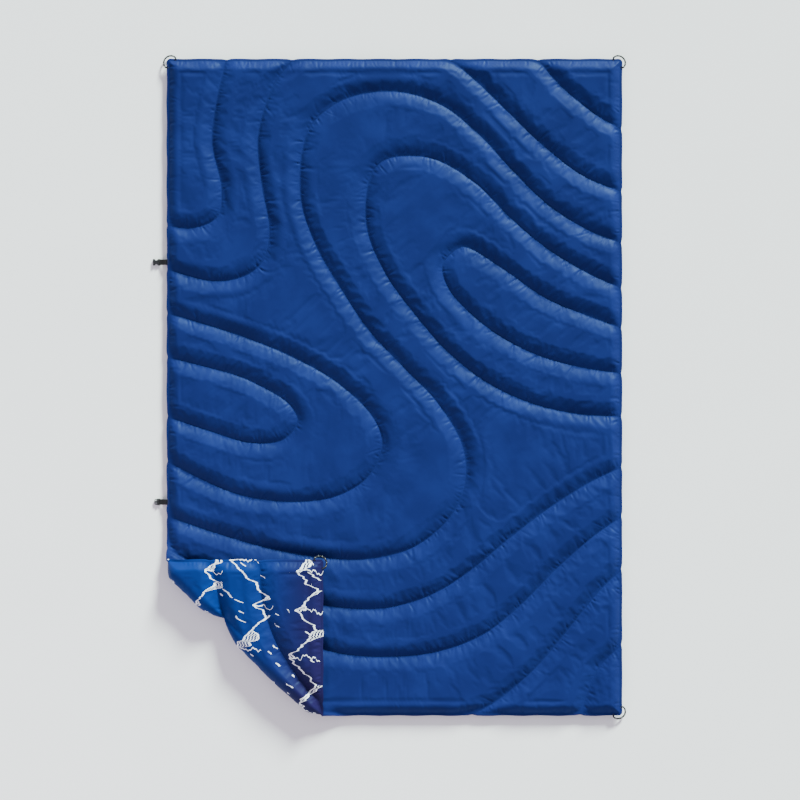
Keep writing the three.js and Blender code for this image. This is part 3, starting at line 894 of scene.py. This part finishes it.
def braid(path, radius, squeeze):
    """A core with the strands that wind round it both ways, and apart from them the one pale strand."""
    length = lengths_along(path)
    count = max(24, int(length[-1] / BRAID_STEP))
    every = np.linspace(0, length[-1], count)
    squeeze = np.interp(every, length, squeeze)
    path = at_lengths(path, every)
    side, up = tube_frame(path)
    strand = radius * STRAND_RADIUS
    core = np.tile(circle(radius * BRAID_CORE, 12), (count, 1, 1))
    core[..., 1] *= squeeze[:, None]
    plain, pale = [swept(path, core)], []
    section = np.tile(circle(strand, 5) * [STRAND_WIDENED, 1.0], (count, 1, 1))
    for way in (1, -1):
        for n in range(BRAID_STRANDS):
            turn = way * 2 * math.pi * every / BRAID_PITCH + n * 2 * math.pi / BRAID_STRANDS
            out = radius - strand + way * STRAND_WEAVE * strand * np.sin(BRAID_STRANDS / 2 * turn)
            middle = path + (out * np.cos(turn))[:, None] * side
            middle += (out * np.sin(turn) * squeeze)[:, None] * up
            (pale if way == 1 and n == 0 else plain).append(swept(middle, section))
    return joined(plain), joined(pale)


def loop_place(name):
    """From a corner's own axes to the blanket's."""
    right = 1 if name.endswith("right") else -1
    up = 1 if name.startswith("top") else -1
    face = -1 if name == FOLDED_LOOP else 1

    def place(points):
        out = points * [-right, -up, face] + [right * HALF[0], up * HALF[1], MIDDLE]
        return turned(out) if name == FOLDED_LOOP else out

    return place


def loop_route():
    """The loop's middle line in the corner's own axes, and its two ends on the hem's edge."""
    angle = math.asin((LOOP_INSET + LOOP_END_OUT) / LOOP_RADIUS)
    reach = LOOP_INSET + LOOP_RADIUS * math.cos(angle)
    ends = np.array([[reach, -LOOP_END_OUT, 0.0], [-LOOP_END_OUT, reach, 0.0]])
    sweep = np.linspace(-angle, -(3 / 2) * math.pi + angle, LOOP_STEPS)
    arc = np.column_stack([np.cos(sweep), np.sin(sweep), 0 * sweep]) * LOOP_RADIUS
    arc[:, :2] += LOOP_INSET
    axis = Vector((ends[1] - ends[0]).tolist()).normalized()
    droop = np.array(Matrix.Rotation(-math.radians(LOOP_DROOP), 3, axis))
    return (arc - ends[0]) @ droop.T + ends[0], ends


def make_loop(name, body):
    """The free loop, which is one length of cord, and the two roots that come out of the hem."""
    place = loop_place(name)
    arc, ends = loop_route()
    path = place(arc)
    loop = two_toned(f"cord_loop_{name}", *braid(path, CORD_DIAMETER / 2, np.ones(len(path))))
    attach(loop, body)
    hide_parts(f"loop_{name}")
    plain, pale = [], []
    for end, inward in ((ends[0], [0.0, 1.0, 0.0]), (ends[1], [1.0, 0.0, 0.0])):
        share = np.linspace(0, 1, 12)
        root = place(end + np.outer(share, inward) * (LOOP_END_OUT + ROOT_DEPTH))
        squeeze = np.interp(share, [0, 0.25, 0.5, 1], [1, 1, ROOT_SQUEEZE, ROOT_SQUEEZE])
        strands = braid(root, CORD_DIAMETER / 2, squeeze)
        plain.append(strands[0])
        pale.append(strands[1])
    roots = two_toned(f"cord_roots_{name}", joined(plain), joined(pale))
    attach(roots, "folded_corner" if name == FOLDED_LOOP else "main_panel")


def two_toned(name, plain, pale):
    """One object of the plain strands and the pale ones, each in its own material."""
    made = mesh_object(name, *joined([plain, pale]))
    made.data.materials.append(MATERIALS["cord"])
    made.data.materials.append(MATERIALS["cord_fleck"])
    numbers = np.zeros(len(made.data.polygons), np.int32)
    numbers[-len(pale[1]) :] = 1
    made.data.polygons.foreach_set("material_index", numbers)
    return made


# ---- webbing and buckles


def woven_strip(path, thickness):
    """A strip of webbing with its rounded edges and its raised weave."""
    length = lengths_along(path)[-1]
    every = np.linspace(0, length, int(length / WEBBING_CELL))
    path = at_lengths(path, every)
    half = WEBBING_WIDTH / 2
    across = half * np.linspace(-1, 1, int(WEBBING_WIDTH / WEBBING_CELL))
    near_edge = np.clip((np.abs(across) - half + WEBBING_ROUND) / WEBBING_ROUND, 0, 1)
    edge = np.sqrt(np.clip(1 - near_edge**2, 0.02, 1))
    wave = 2 * math.pi / WEAVE_PITCH
    rib = WEAVE_DEPTH * np.cos(wave * across) * np.cos(wave * every)[:, None]
    up = (thickness / 2 - WEAVE_DEPTH + rib) * edge
    side = np.tile(across, (len(every), 1))
    top = np.stack([side, up], axis=2)
    bottom = np.stack([side[:, ::-1], -up[:, ::-1]], axis=2)
    section = np.concatenate([top, bottom], axis=1)
    sideways = np.array([0.0, 1.0, 0.0])
    normal = np.cross(tangents(path), sideways)
    rings = path[:, None] + section[..., :1] * sideways + section[..., 1:] * normal[:, None]
    points, faces = tube(rings, path)
    return points, faces[:, ::-1]


def make_tab(clip, bar_joint):
    """Webbing that leaves the hem double and turns round the buckle's bar."""
    pivot = np.array(JOINTS[f"tab_swing_{clip}"]["pos_m"])
    bar = np.array(JOINTS[bar_joint]["pos_m"])
    reach = np.linalg.norm(bar - pivot)
    along = (bar - pivot) / reach
    above = np.cross(along, [0.0, 1.0, 0.0])
    above *= np.sign(above[2])
    ply = WEBBING / 2
    wrap = BAR_RADIUS + CLEARANCE + ply
    apart = along * (reach - WRAP_START * wrap)
    route = [pivot + above * ply, pivot + above * ply + apart]
    for angle in np.radians(np.linspace(WRAP_ANGLE, -WRAP_ANGLE, WRAP_STEPS + 1)):
        route.append(bar + wrap * (math.cos(angle) * along + math.sin(angle) * above))
    route += [pivot - above * ply + apart, pivot - above * ply]
    strip = woven_strip(spline(np.array(route), 0.5 * MM), WEBBING * WEBBING_EASE)
    tab = mesh_object(f"webbing_{clip}", *strip)
    dress(tab, "webbing", "webbing", f"webbing_tab_{clip}", f"tab_{clip}")
    inner = pivot + [ROOT_IN, 0.0, 0.0]
    outer = pivot + [ROOT_SHORT, 0.0, 0.0]
    strip = woven_strip(np.linspace(inner, outer, 8), ROOT_PLIES * WEBBING)
    root = mesh_object(f"webbing_root_{clip}", *strip)
    dress(root, "webbing", "webbing", "main_panel")


def moulded(name, node, body):
    """A moulded copy of a CAD node, with its edges rounded."""
    made = add_object(name, frame["nodes"][node].data.copy())
    made.data.materials.clear()
    work = bmesh.new()
    work.from_mesh(made.data)
    bmesh.ops.remove_doubles(work, verts=work.verts, dist=0.01 * MM)
    bmesh.ops.dissolve_limit(work, angle_limit=math.radians(2), verts=work.verts, edges=work.edges)
    work.to_mesh(made.data)
    work.free()
    rounding = made.modifiers.new("round", "BEVEL")
    rounding.width = BEVEL
    rounding.segments = 3
    rounding.limit_method = "ANGLE"
    rounding.angle_limit = math.radians(SHARP_EDGE)
    rounding.use_clamp_overlap = True
    graph = bpy.context.evaluated_depsgraph_get()
    rounded = bpy.data.meshes.new_from_object(made.evaluated_get(graph))
    made.modifiers.clear()
    made.data = rounded
    dress(made, "plastic", "buckle_plastic", body, node)


# ---- materials


class Material:
    """A material and short ways to add nodes to it."""

    def __init__(self, name, roughness, **values):
        self.material = bpy.data.materials.new(name)
        self.material.use_nodes = True
        self.tree = self.material.node_tree
        self.shader = self.tree.nodes["Principled BSDF"]
        self.shader.inputs["Roughness"].default_value = roughness
        for name, value in values.items():
            socket = name.replace("_", " ").title().replace("Ior", "IOR")
            self.shader.inputs[socket].default_value = value

    def node(self, kind, **inputs):
        made = self.tree.nodes.new(kind)
        for name, value in inputs.items():
            self.feed(made.inputs[name.replace("_", " ")], value)
        return made

    def feed(self, socket, value):
        if isinstance(value, bpy.types.NodeSocket):
            self.tree.links.new(value, socket)
        else:
            socket.default_value = value

    def math(self, operation, first, second=0.0, third=0.0):
        made = self.tree.nodes.new("ShaderNodeMath")
        made.operation = operation
        for socket, value in zip(made.inputs, (first, second, third)):
            self.feed(socket, value)
        return made.outputs[0]

    def times(self, first, second):
        return self.math("MULTIPLY", first, second)

    def plus(self, first, second):
        return self.math("ADD", first, second)

    def above(self, first, second):
        return self.math("GREATER_THAN", first, second)

    def under(self, first, second):
        return self.math("LESS_THAN", first, second)

    def mix(self, share, first, second):
        made = self.tree.nodes.new("ShaderNodeMix")
        made.data_type = "RGBA"
        self.feed(made.inputs[0], share)
        self.feed(made.inputs[6], first)
        self.feed(made.inputs[7], second)
        return made.outputs[2]

    def ramp(self, value, low, high):
        made = self.tree.nodes.new("ShaderNodeMapRange")
        made.interpolation_type = "SMOOTHSTEP"
        self.feed(made.inputs["Value"], value)
        self.feed(made.inputs["From Min"], low)
        self.feed(made.inputs["From Max"], high)
        return made.outputs["Result"]

    def place(self):
        """The point's place on the flat blanket, in metres."""
        made = self.tree.nodes.new("ShaderNodeUVMap")
        made.uv_map = PLACE_MAP
        return made.outputs["UV"]

    def position(self):
        return self.tree.nodes.new("ShaderNodeTexCoord").outputs["Object"]

    def noise(self, vector, scale, detail=2.0):
        made = self.node("ShaderNodeTexNoise", Vector=vector, Scale=scale, Detail=detail)
        return made.outputs["Fac"]

    def noise_along(self, value, scale):
        made = self.tree.nodes.new("ShaderNodeTexNoise")
        made.noise_dimensions = "1D"
        self.feed(made.inputs["W"], value)
        self.feed(made.inputs["Scale"], scale)
        return made.outputs["Fac"]

    def cells_along(self, value, scale, feature):
        """Uneven stretches of a line: the outputs of a Voronoi texture in one dimension."""
        made = self.tree.nodes.new("ShaderNodeTexVoronoi")
        made.voronoi_dimensions = "1D"
        made.feature = feature
        self.feed(made.inputs["W"], value)
        self.feed(made.inputs["Scale"], scale)
        return made.outputs

    def weave(self, vector, pitch):
        """Threads that cross at right angles, as a height from 0 to 1."""
        parts = self.node("ShaderNodeSeparateXYZ", Vector=vector).outputs
        wave = 2 * math.pi / pitch
        warp, weft = (self.math("SINE", self.times(part, wave)) for part in parts[:2])
        return self.math("MULTIPLY_ADD", self.times(warp, weft), 0.5, 0.5)

    def bump(self, height, distance, strength):
        made = self.node("ShaderNodeBump", Height=height, Distance=distance, Strength=strength)
        self.feed(self.shader.inputs["Normal"], made.outputs["Normal"])

    def colour(self, value):
        self.feed(self.shader.inputs["Base Color"], value)

    def roughness(self, value):
        self.feed(self.shader.inputs["Roughness"], value)


def nylon(name, colour_of):
    """Tightly woven nylon: a fine weave, a soft sheen and colour that varies a little."""
    made = Material(name, 0.5, specular_ior_level=0.1, sheen_weight=0.08, sheen_roughness=0.4)
    made.shader.inputs["Sheen Tint"].default_value = (0.4, 0.75, 1.0, 1)
    made.shader.inputs["Specular Tint"].default_value = (0.35, 0.7, 1.0, 1)
    place = made.place()
    shade = made.ramp(made.noise(place, 9.0, 3.0), 0.35, 0.7)
    weave = made.weave(place, FABRIC_WEAVE)
    stretched = made.node("ShaderNodeMapping", Vector=place, Scale=SLUB_SCALE).outputs[0]
    slub = made.noise(stretched, 1.0)
    made.colour(colour_of(made, place, shade))
    made.roughness(made.math("MULTIPLY_ADD", slub, 0.12, 0.44))
    height = made.math("MULTIPLY_ADD", weave, 0.6, made.times(slub, 0.4))
    made.bump(height, 0.1 * MM, 0.35)
    return made.material


def front_colour(made, place, shade):
    return made.mix(shade, FRONT_DARK, FRONT_LIGHT)


def back_colour(made, place, shade):
    """Blue that changes up the blanket, with rows of peaks drawn in white."""
    along = made.node("ShaderNodeSeparateXYZ", Vector=place).outputs
    x, y = along[0], along[1]
    drift = made.math("MULTIPLY_ADD", made.noise(place, 2.2), PRINT_DRIFT, -PRINT_DRIFT / 2)
    height = made.plus(made.plus(y, float(HALF[1]) + PRINT_START), drift)
    band = made.math("FRACT", made.math("DIVIDE", height, PRINT_REPEAT))
    deep = made.mix(made.ramp(band, 0.14, 0.5), PRINT_INDIGO, PRINT_AZURE)
    ground = made.mix(made.ramp(band, 0.55, 0.98), deep, PRINT_BLUE)
    ground = made.mix(made.times(shade, 0.25), ground, FRONT_DARK)
    return made.mix(peaks(made, x, y), ground, PRINT_WHITE)


def peaks(made, x, y):
    """Rows of made-up mountains: a jagged skyline, snow in strokes on one flank, and ridges."""
    row = made.math("DIVIDE", made.plus(y, float(HALF[1])), PRINT_ROW)
    number = made.math("FLOOR", row)
    local = made.times(made.math("FRACT", row), PRINT_ROW)
    seat = made.math("MULTIPLY_ADD", number, PRINT_SHIFT, x)
    jag = made.noise_along(seat, PRINT_JAG_SCALE)
    jag = made.math("MULTIPLY_ADD", jag, PRINT_JAG, -PRINT_JAG / 2)
    peak = made.cells_along(seat, PRINT_PEAKS, "F1")
    rise = made.math("MULTIPLY_ADD", peak["Distance"], PRINT_HEIGHT, PRINT_FOOT)
    depth = made.math("SUBTRACT", made.plus(rise, jag), local)
    pen = made.noise(made.place(), PRINT_PEN_SCALE)
    pen = made.math("MULTIPLY_ADD", pen, PRINT_PEN, PRINT_PEN / 3)
    below = made.above(depth, 0.0)
    outline = made.under(made.math("ABSOLUTE", depth), made.times(pen, PRINT_OUTLINE))

    snow = made.noise_along(seat, PRINT_SNOW_SCALE)
    snow = made.math("MULTIPLY_ADD", snow, PRINT_SNOW_VARIES, -PRINT_SNOW_LESS)
    flank = made.times(made.above(seat, peak["W"]), below)
    stripe = made.math("MULTIPLY_ADD", jag, 0.6, depth)
    stripe = made.math("FRACT", made.math("DIVIDE", stripe, PRINT_STRIPE))
    covered = made.times(made.under(depth, snow), flank)
    strokes = made.times(made.under(stripe, PRINT_STROKE), covered)
    rim = made.math("ABSOLUTE", made.math("SUBTRACT", depth, snow))
    rim = made.times(made.under(rim, made.times(pen, PRINT_RIM)), flank)

    wander = made.node("ShaderNodeCombineXYZ", Y=local, Z=number).outputs[0]
    lean = made.noise(wander, PRINT_LEAN_SCALE)
    lean = made.math("MULTIPLY_ADD", lean, PRINT_LEAN, -PRINT_LEAN / 2)
    lean = made.times(lean, made.math("MINIMUM", made.times(depth, 1 / PRINT_LEAN_STARTS), 1.0))
    ridge = made.cells_along(made.plus(seat, lean), PRINT_PEAKS, "DISTANCE_TO_EDGE")["Distance"]
    ridge = made.under(ridge, made.times(pen, PRINT_PEAKS))
    ridge = made.times(ridge, made.times(made.under(depth, PRINT_HEIGHT / 2), below))

    across, up = PRINT_SPUR_TURN
    spur = made.plus(made.plus(made.times(seat, across), made.times(local, up)), jag)
    spur = made.cells_along(spur, PRINT_SPURS * PRINT_PEAKS, "DISTANCE_TO_EDGE")["Distance"]
    spur = made.under(spur, made.times(pen, PRINT_SPUR * PRINT_PEAKS))
    shown = made.above(made.noise(made.place(), PRINT_SPUR_SCALE), PRINT_SPUR_LEAST)
    spur = made.times(spur, shown)

    ink = outline
    for drawn in (strokes, rim, ridge, spur):
        ink = made.math("MAXIMUM", ink, drawn)
    return ink


def fibrous(name, roughness, scale, dark, light, depth=0, strength=0, detail=2.0, **values):
    """A material of fine fibres, which vary its colour and raise it a little."""
    made = Material(name, roughness, **values)
    fibre = made.noise(made.position(), scale, detail)
    made.colour(made.mix(fibre, (*dark, 1), (*light, 1)))
    if depth:
        made.bump(fibre, depth, strength)
    return made.material


def moulded_plastic():
    """Black acetal: a fine grain, and patches that are worn smoother."""
    made = Material("buckle_acetal", 0.38, specular_ior_level=0.35)
    grain = made.noise(made.position(), 2600.0)
    worn = made.noise(made.position(), 160.0, 3.0)
    made.colour(made.mix(worn, (0.005, 0.005, 0.006, 1), (0.016, 0.016, 0.018, 1)))
    made.roughness(made.math("MULTIPLY_ADD", worn, 0.25, 0.27))
    made.bump(grain, 0.02 * MM, 0.35)
    return made.material


def make_materials():
    return {
        "front": nylon("front_nylon", front_colour),
        "back": nylon("printed_nylon", back_colour),
        "plastic": moulded_plastic(),
        "cord": fibrous(
            "cord_braid", 0.6, 900.0, (0.004, 0.004, 0.005), (0.018, 0.018, 0.021),
            0.1 * MM, 0.4, specular_ior_level=0.2,
        ),
        "cord_fleck": fibrous("cord_fleck", 0.5, 900.0, (0.2, 0.23, 0.2), (0.5, 0.55, 0.5)),
        "webbing": fibrous(
            "black_webbing", 0.7, 1400.0, (0.003, 0.003, 0.004), (0.012, 0.012, 0.014),
            0.08 * MM, 0.5, 3.0, specular_ior_level=0.25, sheen_weight=0.05,
        ),
        "thread": fibrous(
            "sewing_thread", 0.7, 1500.0, (0.003, 0.007, 0.04), (0.006, 0.014, 0.07),
            0.05 * MM, 0.5, specular_ior_level=0.1,
        ),
        "tack": fibrous(
            "tack_thread", 0.7, 1500.0, (0.004, 0.006, 0.02), (0.015, 0.02, 0.06),
            0.05 * MM, 0.5, specular_ior_level=0.15,
        ),
        "batting": fibrous(
            "batting", 0.95, 180.0, (0.6, 0.6, 0.58), (0.85, 0.85, 0.83), 1 * MM, 0.8, 6.0
        ),
    }


# ---- light and floor


def add_light(name, kind, place, power, colour):
    """A light that shines from its place towards the origin."""
    data = bpy.data.lights.new(name, kind)
    data.energy = power
    data.color = colour
    light = add_object(name, data)
    light.location = place
    light.rotation_euler = (-Vector(place)).to_track_quat("-Z", "Y").to_euler()
    return data


def make_studio():
    world = bpy.data.worlds.new("studio")
    world.use_nodes = True
    sky = world.node_tree.nodes["Background"].inputs
    sky["Color"].default_value = SKY_COLOUR
    sky["Strength"].default_value = SKY
    bpy.context.scene.world = world
    height, turn = math.radians(KEY_HEIGHT), math.radians(KEY_TURN)
    place = (KEY_AWAY * math.sin(turn), KEY_AWAY * math.cos(turn), KEY_AWAY * math.tan(height))
    key = add_light("key", "SUN", place, KEY_POWER, KEY_COLOUR)
    key.angle = math.radians(KEY_SOFTNESS)
    fill = add_light("fill", "AREA", FILL_PLACE, FILL_POWER, FILL_COLOUR)
    fill.shape = "DISK"
    fill.size = FILL_SIZE
    points = FLOOR_HALF * np.array([[-1, -1, 0], [1, -1, 0], [1, 1, 0], [-1, 1, 0]])
    floor = mesh_object("floor", points, [[0, 1, 2, 3]], smooth=False)
    made = Material("pale_floor", 0.9)
    made.colour(made.mix(made.noise(made.position(), 3.0), FLOOR_DARK, FLOOR_LIGHT))
    floor.data.materials.append(made.material)


# ---- putting it together


def sew(name, mesh, material, slot, body, node):
    dress(mesh_object(name, *mesh), material, slot, body, node)


def make_covers():
    flat = Flat(CELL)
    wrinkles = resampled(simulated_wrinkles(), flat)
    for face, side, seed, turns_at, under in (
        ("front", 1, 11, LOFT, "batting_main"),
        ("back", -1, 12, LOFT - STITCHED, "floor"),
    ):
        half = half_thickness(flat, wrinkles, np.random.default_rng(seed))
        made = cover(f"{face}_cover", flat, side, half)
        made.data.materials.append(MATERIALS[face])
        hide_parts(f"{face}_shell_main", f"{face}_shell_corner")
        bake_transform(made)
    coarse = Flat(BATTING_CELL)
    thick = BATTING_SHARE * (LOFT - STITCHED) / 2 * coarse.fullness - BATTING_GAP
    for corner, panel, body in PANELS:
        fill = insulation(f"batting_{panel}", coarse, thick, corner)
        dress(fill, "batting", "insulation", body, f"insulation_{panel}")


def make_stitching():
    for node in frame["nodes"]:
        if node.startswith("seam_"):
            corner = node.endswith("_turned")
            line = LINES[node if node in LINES else node.removesuffix("_turned")]
            body = "folded_corner" if corner else "main_panel"
            sew(f"thread_{node}", threads(line, corner), "thread", "thread", body, node)
        if "tack" in node:
            body = "folded_corner" if FOLDED_LOOP in node else "main_panel"
            sew(f"zigzag_{node}", tack_stitches(node), "tack", "tack_thread", body, node)
    for corner, panel, body in PANELS:
        mesh = threads(hem_line(), corner, hem=True)
        sew(f"thread_edge_{panel}", mesh, "thread", "thread", body, f"edge_stitch_{panel}")


make_camera()
SEAMS = Seams(LINES)
SEAM_ENDS = seam_ends()
MATERIALS = make_materials()
for loop in LOOPS:
    make_loop(loop, f"cord_loop_{loop}")
make_covers()
make_stitching()
make_tab("upper", "socket_swing")
make_tab("lower", "plug_swing")
moulded("moulded_socket", "buckle_socket", "socket")
moulded("moulded_plug", "buckle_plug", "plug")
moulded("moulded_prong_left", "prong_left", "left_prong")
moulded("moulded_prong_right", "prong_right", "right_prong")
make_studio()
